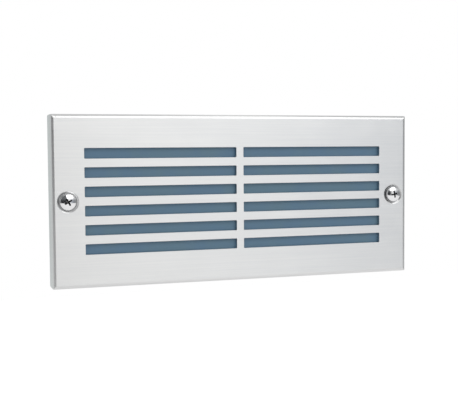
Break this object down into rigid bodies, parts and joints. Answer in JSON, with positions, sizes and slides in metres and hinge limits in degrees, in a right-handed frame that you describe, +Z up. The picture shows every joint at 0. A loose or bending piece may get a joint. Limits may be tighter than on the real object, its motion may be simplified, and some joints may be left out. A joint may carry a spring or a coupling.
{
  "type": "step light",
  "caption": "Recessed wall step light: folded stainless louvre cover with frosted glass, two pan-head screws, cast box with screw-in lamp, terminal strip and cable gland.",
  "frame": {"origin": "centre of the wall's surface, in the plane where the cover's turned-back rim and the foam gasket meet the wall", "axes": "+X right along the wall, +Y into the wall, +Z up; the louvred face looks along -Y"},
  "size_m": [0.24, 0.1297, 0.106],
  "materials": {
    "brushed_stainless": "satin",
    "screw_steel": "polished",
    "clip_steel": "satin",
    "nylon_washer": "matte",
    "frosted_glass": "satin",
    "silicone": "matte",
    "foam": "matte",
    "cast_aluminium": "matte",
    "porcelain": "gloss",
    "brass": "satin",
    "plated_steel": "satin",
    "zinc_screw": "satin",
    "opal_glass": "satin",
    "cap_aluminium": "satin",
    "black_glass": "gloss",
    "solder": "satin",
    "white_nylon": "matte",
    "brown_sleeve": "satin",
    "blue_sleeve": "satin",
    "green_yellow_sleeve": "satin",
    "grey_nylon": "matte",
    "black_rubber": "matte"
  },
  "bodies": {
    "recess_box": {"housing": "cast_aluminium", "wall_gasket": "foam", "lampholder_body": "porcelain", "lampholder_shell": "brass", "lampholder_contact": "brass", "lampholder_terminals": "brass", "lampholder_terminal_screws": "zinc_screw", "lampholder_bracket": "plated_steel", "lampholder_screws": "zinc_screw", "bracket_screws": "zinc_screw", "terminal_block": "white_nylon", "terminal_inserts": "brass", "terminal_screws": "zinc_screw", "strip_screws": "zinc_screw", "live_wire": "brown_sleeve", "neutral_wire": "blue_sleeve", "earth_wire": "green_yellow_sleeve", "earth_ring": "solder", "earth_washer": "zinc_screw", "earth_screw": "zinc_screw", "gland_washer": "black_rubber", "gland_body": "grey_nylon", "gland_seal": "black_rubber", "plug_washer": "black_rubber", "blanking_plug": "grey_nylon"},
    "front_cover": {"faceplate": "brushed_stainless", "diffuser": "frosted_glass", "diffuser_gasket": "silicone", "glass_clips": "clip_steel"},
    "left_washer": {"cover_washer_left": "nylon_washer"},
    "left_screw": {"cover_screw_left": "screw_steel"},
    "right_washer": {"cover_washer_right": "nylon_washer"},
    "right_screw": {"cover_screw_right": "screw_steel"},
    "lamp": {"lamp_bulb": "opal_glass", "lamp_cap": "cap_aluminium", "lamp_insulator": "black_glass", "lamp_contact": "solder"},
    "gland_claw_ring": {"gland_claw": "grey_nylon"},
    "gland_nut": {"gland_dome_nut": "grey_nylon"}
  },
  "joints": [
    {"name": "cover_pull", "type": "slide", "parent": "recess_box", "child": "front_cover", "axis": [0, -1, 0], "range_m": [0, 0.09]},
    {"name": "left_screw_travel", "type": "slide", "parent": "front_cover", "child": "left_washer", "axis": [0, -1, 0], "range_m": [0, 0.008]},
    {"name": "left_screw_turn", "type": "hinge", "parent": "left_washer", "child": "left_screw", "pos_m": [-0.11, -0.012, 0], "axis": [0, -1, 0], "range_deg": [0, 3600]},
    {"name": "right_screw_travel", "type": "slide", "parent": "front_cover", "child": "right_washer", "axis": [0, -1, 0], "range_m": [0, 0.008]},
    {"name": "right_screw_turn", "type": "hinge", "parent": "right_washer", "child": "right_screw", "pos_m": [0.11, -0.012, 0], "axis": [0, -1, 0], "range_deg": [0, 3600]},
    {"name": "lamp_turn", "type": "hinge", "parent": "recess_box", "child": "lamp", "pos_m": [0, 0.046, 0], "axis": [-1, 0, 0], "range_deg": [0, 1440]},
    {"name": "gland_claw_travel", "type": "slide", "parent": "recess_box", "child": "gland_claw_ring", "axis": [0, 1, 0], "range_m": [0, 0.003]},
    {"name": "gland_nut_turn", "type": "hinge", "parent": "gland_claw_ring", "child": "gland_nut", "pos_m": [0.076, 0.1, -0.014], "axis": [0, 1, 0], "range_deg": [0, 720]}
  ],
  "couplings": [
    {"joint": "left_screw_turn", "follows": "left_screw_travel", "rad_per_m": 7854},
    {"joint": "right_screw_turn", "follows": "right_screw_travel", "rad_per_m": 7854},
    {"joint": "gland_nut_turn", "follows": "gland_claw_travel", "rad_per_m": 4188.8}
  ]
}
